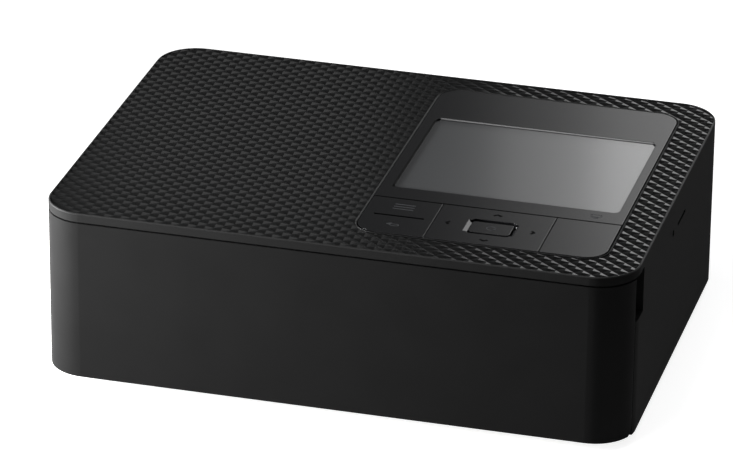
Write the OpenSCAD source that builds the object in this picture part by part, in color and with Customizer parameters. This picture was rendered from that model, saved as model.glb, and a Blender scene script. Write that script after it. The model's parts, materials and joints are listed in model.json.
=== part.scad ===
// Compact dye-transfer photo printer, standing on four rubber feet.
// X runs left to right, the front faces -Y and Z is up.
// The origin is under the middle of the body, on the surface it stands on.

/* [Body] */
// Overall width
body_w = 182.2; // [180:0.1:200]
// Overall depth
body_d = 133; // [131:0.5:145]
// Overall height, feet included
body_h = 57.6; // [57.2:0.1:66]
// Plan radius of the four upright corners
corner_r = 12.8; // [11:0.1:14]
// Thickness of the casing walls
wall = 2; // [1.8:0.1:2.2]
// Height of the smooth band round the lid
band_h = 2.8; // [2.6:0.1:3.4]
// Depth of the field that holds the relief of the lid
relief_depth = 0.35; // [0.2:0.05:0.5]
// Width of the smooth rim round that field
relief_rim = 0.5; // [0.4:0.1:1.5]
// Chamfer on the upper edge of the lid
lid_chamfer = 0.3; // [0.2:0.05:0.5]

/* [Feet and screws] */
// Height of the rubber feet
foot_h = 3; // [2.5:0.1:4]
// Radius of the rubber feet
foot_r = 6; // [4:0.5:7]
// Distance of a foot's centre from the end walls
foot_inset = 19; // [16:0.5:26]
// Radius of the casing screws' threads
screw_r = 1.25; // [1:0.05:1.5]
// Length of the casing screws under the head
screw_l = 12; // [8:1:20]

/* [Front door] */
// Depth of the door's wrap round the corners
door_wrap = 9.2; // [8.6:0.1:10]
// Height of the hinge axis over the table
door_axis_z = 6.5; // [6.3:0.1:7]
// Distance of the hinge axis behind the front face
door_axis_in = 5; // [5:0.1:5.4]
// Radius of the hinge knuckles
knuckle_r = 2.5; // [2.3:0.1:2.6]
// Radius of the hinge pins
door_pin_r = 1; // [0.8:0.05:1.3]
// Height of the finger recess behind the door's edge
recess_h = 14; // [10:0.5:20]
// Depth of the finger recess along the side
recess_d = 8.2; // [7:0.1:9]

/* [Control panel] */
// Width of the control panel
panel_w = 76.9; // [74:0.1:80]
// Distance from the panel to the right side
panel_right = 11.2; // [10:0.1:14]
// Distance from the panel to the front face
panel_front = 12.7; // [12:0.1:14]
// Distance from the panel to the rear face
panel_rear = 10; // [9:0.1:12]
// Radius of the panel's corners
panel_r = 7; // [5:0.1:8]
// Width of the display window
display_w = 70; // [60:0.1:72]
// Depth of the display window
display_d = 53.9; // [48:0.1:56]
// Recess of the display window below the panel
display_recess = 0.4; // [0.3:0.1:0.6]
// Depth of the row of keys
key_row = 25.3; // [24:0.1:26]
// Width of the left key
menu_w = 22; // [20:0.1:24]
// Width of the four-way pad
nav_w = 35; // [33:0.1:36]
// Width of the centre key
ok_w = 12.6; // [11:0.1:14]
// Depth of the centre key
ok_d = 7.5; // [7:0.1:8.5]
// Gap round every key
key_gap = 0.3; // [0.25:0.05:0.4]

/* [Ink cassette] */
// Radius of the spool housings
housing_r = 10.4; // [10.2:0.1:10.5]
// Distance between the two spools
spool_pitch = 43; // [42.8:0.1:44]
// Length of the cassette
cassette_l = 116.5; // [110:0.5:117]
// Radius of the full ribbon roll
ribbon_full_r = 8.6; // [7:0.1:8.6]
// Radius of the started ribbon roll
ribbon_start_r = 5.6; // [5.4:0.1:6.2]
// Height of the ink-cassette door
ink_door_h = 32; // [31:0.5:33]
// Length of the ink-cassette door
ink_door_l = 72; // [70:0.5:76]

/* [Paper path] */
// Clear width between the chassis plates
lane_w = 114; // [113:0.5:115]
// Radius of the platen roller
platen_r = 5; // [4.9:0.1:5.1]
// Radius of the feed roller
feed_r = 4; // [3.9:0.05:4.1]
// Radius of the pinch roller
pinch_r = 3; // [2.5:0.1:3.1]
// Radius of the pick-up roller
pickup_r = 6.5; // [6:0.1:7]
// Radius of the roller shafts
shaft_r = 3; // [2.6:0.1:3.2]
// Thickness of the chassis plates
plate_t = 1.2; // [1:0.1:1.5]

/* [Gears] */
// Size of the gear teeth, pitch diameter over number of teeth
tooth_module = 1; // [0.98:0.01:1.01]
// Width of the gears
gear_w = 3; // [2.5:0.1:3.2]
// Teeth taken off each flank for play
tooth_play = 0.06; // [0.05:0.01:0.1]

/* [Hidden] */
$fn = 64;
fit = 0.05;
seam = 0.3;
play = 0.25;

// Casing planes
left_in = -body_w / 2 + wall;
right_in = body_w / 2 - wall;
front_y = -body_d / 2;
rear_y = body_d / 2;
rear_in = rear_y - wall;
band_z = body_h - band_h;
lid_under = body_h - wall;
base_bottom = foot_h;
base_top = foot_h + wall;
base_gap = 0.2;

// Front door
door_axis_y = front_y + door_axis_in;
door_back = front_y + door_wrap;
door_bottom = base_bottom + 0.2;
door_top = band_z - 0.5;
door_lug_x = 60;
door_lug_w = 5;
door_ear_w = 3;
door_lug_gap = 0.2;
door_lug_reach = 5;
door_lug_drop = 1.5;
door_lug_rise = 2;
door_pin_l = door_lug_w + 2 * door_ear_w + 0.6;
wall_front = door_back + seam;
base_front = wall_front;
recess_z = door_top - recess_h;
recess_depth = 7;
lining = 1.2;

// Front inner frame with the cassette bay
frame_y = wall_front + 0.6;
frame_t = 1.6;
frame_side = 3;
bay_side = 4;
bay_bottom = base_top + 2;
bay_h = 25;
bay_top = bay_bottom + bay_h;

// Chassis
lane_side = 11.1;
lane_x0 = left_in + lane_side;
lane_x1 = lane_x0 + lane_w;
lane_mid = (lane_x0 + lane_x1) / 2;
paper_w = 100;
paper_x0 = lane_mid - paper_w / 2;
paper_x1 = lane_mid + paper_w / 2;
plate_h = 42.5;
plate_top = base_top + plate_h;
plate_y0 = frame_y + frame_t + 4.8;
plate_y1 = rear_in - 7.5;
plate_slope_d = 10;
plate_slope_h = 14;
bush_t = 1.4;
bush_flange_t = 0.8;
bush_flange_r = 0.4;
pickup_shaft_r = shaft_r - 0.5;
shaft_end = 2;
gear_end = 1;
gear_x = lane_x1 + plate_t + 1;
gear2_x = gear_x + gear_w + 1.4;
bracket_x = gear2_x + gear_w + 1.6;

// Teeth
feed_n = 12;
platen_n = 15;
idler_n = 20;
takeup_n = 16;
takeup_large_n = 24;
pinion_n = 12;
front_n = 16;
sector_n = 30;
lift_n = 12;
pressure_angle = 25;
function pitch_r(n) = n * tooth_module / 2;
function centre_gap(a, b) = pitch_r(a) + pitch_r(b);

// Shaft places, each [y, z]
platen_h = 9.2;
feed_pitch = 18;
nip_gap = 0.4;
platen_at = [0, base_top + platen_h];
nip_z = platen_at[1] + platen_r;
feed_at = [platen_at[0] + feed_pitch, nip_z - feed_r];
pinch_at = [feed_at[0], nip_z + nip_gap + pinch_r];
guide_top = nip_z - 0.4;
guide_t = 1.2;
rib_t = 1.5;
rib_pitch = 20;
rib_first = 9;
rib_drop = 5;
function polar(c, r, a) = [c[0] + r * cos(a), c[1] + r * sin(a)];
function angle_of(a, b) = atan2(b[1] - a[1], b[0] - a[0]);
function far(a, b) = norm([b[0] - a[0], b[1] - a[1]]);
// The point at distance ra from a and rb from b, to the left of the way from a to b for side 1
function meet(a, ra, b, rb, side) =
    let (d = far(a, b), t = (ra * ra - rb * rb + d * d) / (2 * d), h = sqrt(ra * ra - t * t))
    polar(a, norm([t, h]), angle_of(a, b) + side * atan2(h, t));
idler_at = meet(platen_at, centre_gap(platen_n, idler_n), feed_at, centre_gap(feed_n, idler_n), 1);
takeup_at = polar(idler_at, centre_gap(idler_n, takeup_n), 18);
supply_at = [takeup_at[0] - spool_pitch, takeup_at[1]];
motor_at = polar(takeup_at, centre_gap(takeup_large_n, pinion_n), 190);
pickup_at = [plate_y0 + 8, base_top + 25];
front_a_at = polar(platen_at, centre_gap(platen_n, front_n), 168);
front_b_at = meet(front_a_at, centre_gap(front_n, front_n), pickup_at, centre_gap(front_n, front_n), -1);
pivot_at = [plate_y1 - 10, base_top + 36];
lift_at = [pivot_at[0], pivot_at[1] - centre_gap(sector_n, lift_n)];

// The turn that puts gear b in mesh with gear a, which stands at turn_a
function mesh_turn(at_a, turn_a, n_a, at_b, n_b) =
    let (dir = angle_of(at_a, at_b))
    dir + 180 - 360 / n_b * (0.5 - (dir - turn_a) * n_a / 360);
feed_turn = 0;
idler_turn = mesh_turn(feed_at, feed_turn, feed_n, idler_at, idler_n);
platen_turn = mesh_turn(idler_at, idler_turn, idler_n, platen_at, platen_n);
takeup_turn = mesh_turn(idler_at, idler_turn, idler_n, takeup_at, takeup_n);
pinion_turn = mesh_turn(takeup_at, takeup_turn, takeup_large_n, motor_at, pinion_n);
front_a_turn = mesh_turn(platen_at, platen_turn, platen_n, front_a_at, front_n);
front_b_turn = mesh_turn(front_a_at, front_a_turn, front_n, front_b_at, front_n);
pickup_turn = mesh_turn(front_b_at, front_b_turn, front_n, pickup_at, front_n);
sector_turn = 0;
lift_turn = mesh_turn(pivot_at, sector_turn, sector_n, lift_at, lift_n);

// Ink cassette
cassette_x0 = lane_x0 - 4.5;
cassette_x1 = cassette_x0 + cassette_l;
housing_t = 1;
end_t = 2.4;
journal_r = 3.5;
coupling_r = 4.5;
core_r = 5;
dog_w = 5.6;
dog_t = 2;
dog_gap = 0.3;
film_t = 0.15;
film_z = nip_z + 0.5;
head_bottom = film_z + film_t + 0.2;
film_off = 0.35;
film_over = 0.5;
// Where a line from p touches the front side of the circle of radius r round c
function touch(p, c, r) =
    polar(p, sqrt(far(p, c) * far(p, c) - r * r), angle_of(p, c) + asin(r / far(p, c)));
// The free stretch of film, as [y, z] points from roll to roll
peel_at = [5.8, film_z];
film_path = [
    [supply_at[0], supply_at[1] - ribbon_full_r - film_off],
    [-5, film_z],
    peel_at,
    touch(peel_at, takeup_at, ribbon_start_r + film_off)
];
// Unit normal on the left of the way from a to b
function left_of(a, b) = [a[1] - b[1], b[0] - a[0]] / far(a, b);
// Step to the left from point k of a path that gives an even strip round its bends
function mitre(path, k) =
    let (
        n0 = left_of(path[max(k - 1, 0)], path[max(k, 1)]),
        n1 = left_of(path[min(k, len(path) - 2)], path[min(k, len(path) - 2) + 1])
    )
    (n0 + n1) / (1 + n0 * n1);

// Motors
motor_r = 9;
motor_l = 17;
motor_boss_r = 3;
lift_motor_r = 6;
lift_motor_l = 14;
lift_boss_r = 2.5;
post_pin_r = 1.5;
hub_r = 4;
boss_r = 2;
boss_gap = 0.3;

// Thermal head
head_x0 = paper_x0 - 1;
head_x1 = paper_x1 + 1;
head_y0 = -4;
head_y1 = 5;
heater_t = 1.2;
arm_z = takeup_at[1] + housing_r + 0.6;
arm_t = 1;
arm_x0 = lane_x0 + 5;
arm_x1 = lane_x1 - 11;
pivot_r = 2;
arm_half = 4;
pivot_hub_r = 4.5;

// Ink-cassette door
ink_y = (takeup_at[0] + supply_at[0]) / 2;
ink_y0 = ink_y - ink_door_l / 2;
ink_y1 = ink_y + ink_door_l / 2;
ink_z0 = base_top + 13;
ink_z1 = ink_z0 + ink_door_h;
roll_r = 1.8;
ink_pin_r = 0.8;
ink_axis = [-body_w / 2 + roll_r, ink_z0 + play + roll_r];
ink_lug_l = 4;

// Control panel
panel_x1 = body_w / 2 - panel_right;
display_left = 4;
display_right = 2.9;
// The panel is never narrower than the display window with its margins
panel_x0 = panel_x1 - max(panel_w, display_left + display_w + display_right);
panel_y0 = front_y + panel_front;
panel_y1 = rear_y - panel_rear;
panel_gap = 0.2;
mouth_chamfer = 0.3;
window_chamfer = display_recess;
ok_slope_w = 1.1;
ok_slope_h = 0.7;
ok_side = 1.4;
ok_drop = 0.2;
key_line = panel_y0 + key_row;
display_front = 7.8;
display_x0 = panel_x0 + display_left;
display_y0 = key_line + display_front;
display_t = 1;
display_r = 2;
display_gap = 0.1;
ledge_t = 0.8;
ledge_w = 2;
panel_flange = 1;
key_bottom = body_h - 2.8;
stem_bottom = key_bottom - 1.4;
board_top = body_h - 6.3;
board_t = 1.2;
board_bottom = board_top - board_t;
stem_h = 2;
menu_stem_r = 1.6;
key_stem_r = 2;
nav_stem_r = 1.4;
nav_pin_r = 1;
nav_stem_x = 10.6;
nav_stem_y = 9.2;
menu_mid = panel_x0 + menu_w / 2;
nav_mid = panel_x0 + menu_w + nav_w / 2;
key_mid_y = (panel_y0 + key_line) / 2;
ok_x = panel_x0 + 39.7;
ok_y = panel_y0 + 12.4;
gimbal_half_x = 13;
gimbal_half_y = 7.8;
gimbal_hole_x = 8.2;
gimbal_hole_y = 6.2;
gimbal_t = 0.7;
gimbal_bore_r = 1.9;

// Casing screws and posts
post_r = 3.4;
post_x = body_w / 2 - 6.6;
post_front_y = front_y + 20.5;
post_rear_y = rear_y - 11.5;
posts = [[-post_x, post_front_y], [post_x, post_front_y + 6], [-post_x, post_rear_y], [post_x, post_rear_y]];
screw_head_r = screw_r * 2.4;
screw_head_h = 0.7;

// Sockets on the right and rear sides
card_y = 5.5;
card_l = 11;
card_h = 1.2;
card_z = body_h - 11;
lamp_y = -6.5;
lamp_r = 1;
socket_d = 16;
socket_h = 2.8;
standoff_in = 3;
standoff_half = 2;
main_w = 25;
main_d = 30;
main_x1 = post_x - post_r - 0.1;
main_x0 = main_x1 - main_w;
main_y1 = rear_in - 1.5;
main_y0 = main_y1 - main_d;
main_z = base_top + 3.4;
main_t = 1.6;
main_top = main_z + main_t;
usb_x = main_x0 + 4.4;
usb_w = 7.8;
usb_h = 4;
usb_l = 9.1;
power_x = main_x0 + 12.4;
power_z = main_top + 5;
power_r = 2.6;
dc_x = main_x1 - 4.9;
dc_z = main_top + 5;
dc_r = 4.2;
dc_hole_r = 2.75;
dc_pin_r = 0.8;
dc_l = 11.5;
slot_z = nip_z - 2.2;
slot_h = 7;

// Vents in the rear wall
vent_n = 8;
vent_w = 2;
vent_h = 12;
vent_pitch = 4.6;
vent_x1 = post_x - post_r - 4;
vent_z = body_h - 24;

// A box with upright round corners, centred on the origin in plan
module round_box(w, d, h, r) {
    translate([-w / 2, -d / 2 + r, 0])
        cube([w, d - 2 * r, h]);
    translate([-w / 2 + r, -d / 2, 0])
        cube([w - 2 * r, d, h]);
    for (x = [-1, 1], y = [-1, 1])
        translate([x * (w / 2 - r), y * (d / 2 - r), 0])
            cylinder(h = h, r = r);
}

// The same box between two opposite corners
module round_block(p, q, r) {
    translate([(p[0] + q[0]) / 2, (p[1] + q[1]) / 2, p[2]])
        round_box(q[0] - p[0], q[1] - p[1], q[2] - p[2], r);
}

// A plain box between two opposite corners
module block(p, q) {
    translate(p)
        cube([q[0] - p[0], q[1] - p[1], q[2] - p[2]]);
}

// A cylinder along X at the place [y, z]
module rod_x(x0, x1, at, r) {
    translate([x0, at[0], at[1]])
        rotate([0, 90, 0])
            cylinder(h = x1 - x0, r = r);
}

// A cylinder along Y at the place [x, z]
module rod_y(y0, y1, at, r) {
    translate([at[0], y0, at[1]])
        rotate([-90, 0, 0])
            cylinder(h = y1 - y0, r = r);
}

// A flat outline in the YZ plane, drawn as [y, z], between two X planes
module plate_x(x0, x1) {
    translate([x0, 0, 0])
        rotate([90, 0, 90])
            linear_extrude(height = x1 - x0)
                children();
}

// The lid slab: a round box whose upper edge is chamfered
module chamfered_slab(w, d, h, r, c) {
    side = [[0, 0], [r, 0], [r, h - c], [r - c, h], [0, h]];
    for (x = [-1, 1], y = [-1, 1])
        translate([x * (w / 2 - r), y * (d / 2 - r), 0])
            rotate_extrude()
                polygon(side);
    translate([0, d / 2 - r, 0])
        rotate([90, 0, 0])
            linear_extrude(height = d - 2 * r)
                chamfered_end(w, h, c);
    translate([-w / 2 + r, 0, 0])
        rotate([90, 0, 90])
            linear_extrude(height = w - 2 * r)
                chamfered_end(d, h, c);
}

// The end face of a slab whose upper edges are chamfered
module chamfered_end(w, h, c) {
    x = w / 2;
    polygon([[-x, 0], [x, 0], [x, h - c], [x - c, h], [-x + c, h], [-x, h - c]]);
}

// Involute teeth. Each flank has three points and lies inside the true curve.
function involute_at(rb, r) = let (t = sqrt(max(0, r * r / (rb * rb) - 1))) t * 180 / PI - atan(t);
function half_tooth(n, r) =
    let (rp = pitch_r(n), rb = rp * cos(pressure_angle))
    90 / n - tooth_play / rp * 180 / PI + involute_at(rb, rp) - involute_at(rb, max(r, rb));
function tooth_points(n, a) =
    let (
        rp = pitch_r(n),
        root = rp - 1.2 * tooth_module,
        low = max(root + 0.1, rp * cos(pressure_angle)),
        tip = rp + 0.9 * tooth_module,
        rings = [root, low, rp, tip],
        halves = [half_tooth(n, low), half_tooth(n, low), half_tooth(n, rp), half_tooth(n, tip)]
    )
    concat(
        [for (i = [0:3]) [rings[i] * cos(a - halves[i]), rings[i] * sin(a - halves[i])]],
        [for (i = [3:-1:0]) [rings[i] * cos(a + halves[i]), rings[i] * sin(a + halves[i])]]
    );
module gear_outline(n) {
    polygon([for (k = [0:n - 1]) each tooth_points(n, 360 * k / n)]);
}
// A gear whose first tooth points along +Y, turned by turn, between two X planes
module gear_x_at(n, at, turn, x0, x1) {
    plate_x(x0, x1)
        translate(at)
            rotate(turn)
                gear_outline(n);
}

module base_tray() {
    inner_w = body_w - 2 * wall - 2 * base_gap;
    inner_d = body_d - 2 * wall - 2 * base_gap;
    lug_out = door_lug_x + door_lug_w / 2;
    lug_in = door_lug_x - door_lug_w / 2;
    color([0.09, 0.09, 0.1])
    difference() {
        union() {
            translate([0, 0, base_bottom])
                round_box(inner_w, inner_d, wall, corner_r - wall);
            for (x = [-door_lug_x, door_lug_x])
                door_lug(x);
            for (x = [main_x0 + standoff_in, main_x1 - standoff_in])
                for (y = [main_y0 + standoff_in, main_y1 - standoff_in])
                    board_standoff(x, y);
        }
        block([-body_w, front_y - 1, 0], [-lug_out, base_front, base_top + 1]);
        block([-lug_in, front_y - 1, 0], [lug_in, base_front, base_top + 1]);
        block([lug_out, front_y - 1, 0], [body_w, base_front, base_top + 1]);
        for (x = [-door_lug_x, door_lug_x]) {
            block([x - door_lug_w, front_y - 1, 0], [x + door_lug_w, base_front, door_axis_z - door_lug_drop]);
            rod_x(x - door_lug_w, x + door_lug_w, [door_axis_y, door_axis_z], door_pin_r);
        }
        for (p = posts) {
            translate([p[0], p[1], base_bottom - 1])
                cylinder(h = wall + 2, r = screw_r + 0.35);
            translate([p[0], p[1], base_bottom - 1])
                cylinder(h = 1.8, r = screw_head_r + 0.2);
        }
    }
}

// One post of the base that carries the main board
module board_standoff(x, y) {
    block([x - standoff_half, y - standoff_half, base_top], [x + standoff_half, y + standoff_half, main_z]);
}

// One knuckle of the base that carries a hinge pin of the front door
module door_lug(x) {
    x0 = x - door_lug_w / 2;
    x1 = x + door_lug_w / 2;
    y1 = base_front + door_lug_reach;
    block([x0, door_axis_y, door_axis_z - door_lug_drop], [x1, y1, door_axis_z + door_lug_rise]);
    block([x0, base_front, base_top - 1], [x1, y1, door_axis_z]);
    rod_x(x0, x1, [door_axis_y, door_axis_z], knuckle_r);
}

module top_cover() {
    color([0.13, 0.13, 0.14])
    difference() {
        union() {
            difference() {
                union() {
                    translate([0, 0, band_z])
                        chamfered_slab(body_w, body_d, band_h, corner_r, lid_chamfer);
                    translate([0, 0, base_bottom])
                        round_box(body_w, body_d, band_z - base_bottom, corner_r);
                }
                translate([0, 0, base_bottom - 1])
                    round_box(
                        body_w - 2 * wall,
                        body_d - 2 * wall,
                        lid_under - base_bottom + 1,
                        corner_r - wall
                    );
                block([-body_w, front_y - 1, 0], [body_w, wall_front, band_z]);
            }
            for (p = posts)
                translate([p[0], p[1], base_top])
                    cylinder(h = lid_under - base_top + 0.5, r = post_r);
            finger_lining();
            for (y = [ink_y0 - ink_lug_l, ink_y1])
                block(
                    [left_in - 0.5, y, ink_z0],
                    [ink_axis[0] + roll_r, y + ink_lug_l, ink_z0 + 2 * roll_r + 0.5]
                );
        }
        translate([0, 0, body_h - relief_depth])
            relief_field();
        round_block([panel_x0, panel_y0, lid_under - 1], [panel_x1, panel_y1, body_h + 1], panel_r);
        panel_mouth();
        block([right_in - recess_depth, wall_front - 1, recess_z], [body_w, wall_front + recess_d, band_z]);
        block([-body_w, ink_y0, ink_z0], [left_in + 0.01, ink_y1, ink_z1]);
        rod_y(ink_y0 - ink_lug_l - 1, ink_y1 + ink_lug_l + 1, ink_axis, ink_pin_r);
        thumb_scoop();
        block(
            [right_in - 1, card_y - card_l / 2, card_z - card_h / 2],
            [body_w, card_y + card_l / 2, card_z + card_h / 2]
        );
        rod_x(right_in - 1, body_w, [lamp_y, card_z], lamp_r + 0.1);
        block([paper_x0 - 2, rear_in - 1, slot_z], [paper_x1 + 2, rear_y + 1, slot_z + slot_h]);
        block(
            [usb_x - usb_w / 2 - 0.4, rear_in - 1, main_top - 0.3],
            [usb_x + usb_w / 2 + 0.4, rear_y + 1, main_top + usb_h + 0.4]
        );
        rod_y(rear_in - 1, rear_y + 1, [power_x, power_z], power_r + seam);
        rod_y(rear_in - 1, rear_y + 1, [dc_x, dc_z], dc_r + seam);
        for (k = [0:vent_n - 1])
            round_slot([vent_x1 - vent_pitch * k, rear_in - 1, vent_z], vent_w, vent_h);
        for (p = posts)
            translate([p[0], p[1], base_top - 1])
                cylinder(h = screw_l + 1, r = screw_r);
    }
}

// The chamfer round the mouth that holds the panel
module panel_mouth() {
    translate([(panel_x0 + panel_x1) / 2, (panel_y0 + panel_y1) / 2, body_h - mouth_chamfer + 3])
        mirror([0, 0, 1])
            chamfered_slab(
                panel_x1 - panel_x0 + 2 * mouth_chamfer,
                panel_y1 - panel_y0 + 2 * mouth_chamfer,
                3,
                panel_r + mouth_chamfer,
                mouth_chamfer
            );
}

// A slot through the rear wall, with round ends
module round_slot(p, w, h) {
    translate([p[0] - w / 2, p[1], p[2] + w / 2])
        cube([w, wall + 2, h - w]);
    for (z = [p[2] + w / 2, p[2] + h - w / 2])
        rod_y(p[1], p[1] + wall + 2, [p[0], z], w / 2);
}

// The sunk field of the lid, without the rim round its edge and round the panel
module relief_field() {
    difference() {
        round_box(body_w - 2 * relief_rim, body_d - 2 * relief_rim, 5, corner_r - relief_rim);
        round_block(
            [panel_x0 - relief_rim, panel_y0 - relief_rim, -1],
            [panel_x1 + relief_rim, panel_y1 + relief_rim, 6],
            panel_r + relief_rim
        );
    }
}

// Walls behind the finger recess on the right side
module finger_lining() {
    x0 = right_in - recess_depth - lining;
    y1 = wall_front + recess_d + lining;
    block([x0, wall_front, recess_z - lining], [right_in + 0.5, y1, lid_under + 0.5]);
}

module front_door() {
    color([0.15, 0.15, 0.16])
    difference() {
        union() {
            difference() {
                translate([0, 0, door_bottom])
                    round_box(body_w, body_d, door_top - door_bottom, corner_r);
                translate([0, 0, door_bottom - 1])
                    round_box(body_w - 2 * wall, body_d - 2 * wall, body_h, corner_r - wall);
                block([-body_w, door_back, 0], [body_w, body_d, body_h]);
                difference() {
                    block([-body_w, door_axis_y, 0], [body_w, body_d, door_axis_z]);
                    rod_x(-body_w, body_w, [door_axis_y, door_axis_z], door_back - door_axis_y);
                }
            }
            for (x = [-door_lug_x, door_lug_x], s = [-1, 1])
                door_ear(x + s * (door_lug_w / 2 + door_lug_gap + door_ear_w / 2));
        }
        for (x = [-door_lug_x, door_lug_x])
            rod_x(x - 10, x + 10, [door_axis_y, door_axis_z], door_pin_r + fit);
    }
}

// One ear of the front door, beside a lug of the base
module door_ear(x) {
    x0 = x - door_ear_w / 2;
    x1 = x + door_ear_w / 2;
    block([x0, front_y + wall - 0.5, door_axis_z - 2], [x1, door_axis_y, door_axis_z + knuckle_r]);
    rod_x(x0, x1, [door_axis_y, door_axis_z], knuckle_r);
}

module door_hinge_pins() {
    color("silver")
    for (x = [-door_lug_x, door_lug_x])
        rod_x(x - door_pin_l / 2, x + door_pin_l / 2, [door_axis_y, door_axis_z], door_pin_r);
}

module front_frame() {
    x0 = left_in + frame_side;
    x1 = right_in - recess_depth - lining - 1;
    y0 = frame_y - 1;
    y1 = frame_y + frame_t + 1;
    color([0.1, 0.1, 0.11])
    difference() {
        block([x0, frame_y, base_top], [x1, frame_y + frame_t, lid_under]);
        block([paper_x0 - bay_side, y0, bay_bottom], [paper_x1 + bay_side, y1, bay_top]);
        block([panel_x0 - panel_flange - 1, y0, board_bottom - 2], [x1 + 1, y1, body_h]);
        for (x = [-door_lug_x, door_lug_x])
            block([x - door_lug_w / 2, y0, base_bottom], [x + door_lug_w / 2, y1, door_axis_z + door_lug_rise]);
    }
}

module ink_door() {
    y0 = ink_y0 + play;
    y1 = ink_y1 - play;
    color([0.13, 0.13, 0.14])
    difference() {
        union() {
            block([-body_w / 2, y0, ink_axis[1]], [left_in, y1, ink_z1 - play]);
            rod_y(y0, y1, ink_axis, roll_r);
        }
        rod_y(y0 - 1, y1 + 1, ink_axis, ink_pin_r + fit);
        thumb_scoop();
    }
}

// The shallow scoop at the upper edge of the ink-cassette door
module thumb_scoop() {
    rod_x(-body_w, -body_w / 2 + 1.1, [ink_y, ink_z1], 4.4);
}

module ink_door_pin() {
    color("silver")
    rod_y(ink_y0 - ink_lug_l + 0.5, ink_y1 + ink_lug_l - 0.5, ink_axis, ink_pin_r);
}

module rubber_feet() {
    color([0.07, 0.07, 0.07])
    for (x = [-1, 1], y = [-1, 1])
        translate([x * (body_w / 2 - foot_inset), y * (body_d / 2 - foot_inset), 0])
            rotate_extrude()
                polygon([[0, 0], [foot_r - 0.6, 0], [foot_r, 0.6], [foot_r, foot_h], [0, foot_h]]);
}

module casing_screws() {
    color("silver")
    for (p = posts)
        translate([p[0], p[1], base_bottom + 0.1])
            difference() {
                union() {
                    cylinder(h = screw_head_h, r = screw_head_r);
                    cylinder(h = screw_l - 1, r = screw_r);
                }
                for (a = [0, 90])
                    rotate(a)
                        translate([-screw_head_r * 0.55, -0.3, -1])
                            cube([screw_head_r * 1.1, 0.6, 1.4]);
            }
}

module panel_plate() {
    x0 = panel_x0 + panel_gap;
    x1 = panel_x1 - panel_gap;
    y0 = panel_y0 + panel_gap;
    y1 = panel_y1 - panel_gap;
    color([0.2, 0.2, 0.21])
    difference() {
        union() {
            intersection() {
                round_block([x0, y0, key_bottom - 0.5], [x1, y1, body_h], panel_r - panel_gap);
                block([-body_w, key_line, 0], [body_w, body_d, body_h + 1]);
            }
            difference() {
                round_block(
                    [panel_x0 - panel_flange, panel_y0 - panel_flange, lid_under - 1.4],
                    [panel_x1 + panel_flange, panel_y1 + panel_flange, lid_under],
                    panel_r + panel_flange
                );
                round_block(
                    [panel_x0 - 0.1, panel_y0 - 0.1, 0],
                    [panel_x1 + 0.1, key_line + 12, body_h],
                    panel_r + 0.1
                );
            }
            for (x = [panel_x0 + 3, panel_x1 - 3], y = [key_line + 4, panel_y1 - 6])
                translate([x, y, board_top])
                    cylinder(h = key_bottom - board_top + 0.5, r = 1.9);
        }
        round_block(
            [display_x0, display_y0, lid_under - 5],
            [display_x0 + display_w, display_y0 + display_d, body_h + 1],
            display_r
        );
        translate([display_x0 + 1, display_y0 + display_d, body_h])
            rotate([90, 0, 90])
                linear_extrude(height = display_w - 2)
                    polygon([
                        [-1, 1], [-1, -window_chamfer], [0, -window_chamfer],
                        [window_chamfer, 0], [window_chamfer, 1]
                    ]);
    }
    color([0.2, 0.2, 0.21])
    difference() {
        round_block(
            [display_x0 - 0.01, display_y0 - 0.01, body_h - display_recess - display_t - ledge_t],
            [display_x0 + display_w + 0.01, display_y0 + display_d + 0.01, body_h - display_recess - display_t],
            display_r
        );
        round_block(
            [display_x0 + ledge_w, display_y0 + ledge_w, 0],
            [display_x0 + display_w - ledge_w, display_y0 + display_d - ledge_w, body_h],
            1
        );
    }
}

module display_window() {
    color([0.45, 0.45, 0.46])
    round_block(
        [display_x0 + display_gap, display_y0 + display_gap, body_h - display_recess - display_t],
        [display_x0 + display_w - display_gap, display_y0 + display_d - display_gap, body_h - display_recess],
        display_r - display_gap
    );
}

module display_module() {
    color([0.3, 0.31, 0.32])
    union() {
        block(
            [display_x0 + 1, display_y0 + 1, board_top],
            [display_x0 + display_w - 1, display_y0 + display_d - 1, key_bottom - 0.6]
        );
        block(
            [display_x0 + ledge_w + seam, display_y0 + ledge_w + seam, key_bottom - 0.7],
            [
                display_x0 + display_w - ledge_w - seam,
                display_y0 + display_d - ledge_w - seam,
                body_h - display_recess - display_t - display_gap
            ]
        );
    }
}

// The outline of the key row, shrunk by the gap at the panel's edge
module key_row_outline(z0, z1) {
    intersection() {
        round_block(
            [panel_x0 + key_gap, panel_y0 + key_gap, z0],
            [panel_x1 - key_gap, panel_y1, z1],
            panel_r - key_gap
        );
        block([panel_x0, panel_y0, z0], [panel_x1, key_line - key_gap, z1]);
    }
}

module menu_key() {
    color([0.2, 0.2, 0.21])
    difference() {
        union() {
            intersection() {
                key_row_outline(key_bottom, body_h);
                block([panel_x0, panel_y0, 0], [panel_x0 + menu_w - key_gap / 2, key_line, body_h]);
            }
            for (s = [-1, 1])
                translate([menu_mid, key_mid_y + s * key_row / 4, stem_bottom])
                    cylinder(h = stem_h, r = menu_stem_r);
        }
        block(
            [panel_x0 + 3.6, key_mid_y - 0.3, body_h - 0.4],
            [panel_x0 + menu_w - 3, key_mid_y + 0.3, body_h + 1]
        );
    }
}

module nav_gimbal() {
    color([0.12, 0.12, 0.12])
    difference() {
        round_block(
            [ok_x - gimbal_half_x, ok_y - gimbal_half_y, stem_bottom],
            [ok_x + gimbal_half_x, ok_y + gimbal_half_y, stem_bottom + gimbal_t],
            2
        );
        round_block(
            [ok_x - gimbal_hole_x, ok_y - gimbal_hole_y, 0],
            [ok_x + gimbal_hole_x, ok_y + gimbal_hole_y, body_h],
            1
        );
        for (s = [-1, 1])
            translate([ok_x + s * nav_stem_x, ok_y, 0])
                cylinder(h = body_h, r = gimbal_bore_r);
    }
}

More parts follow.
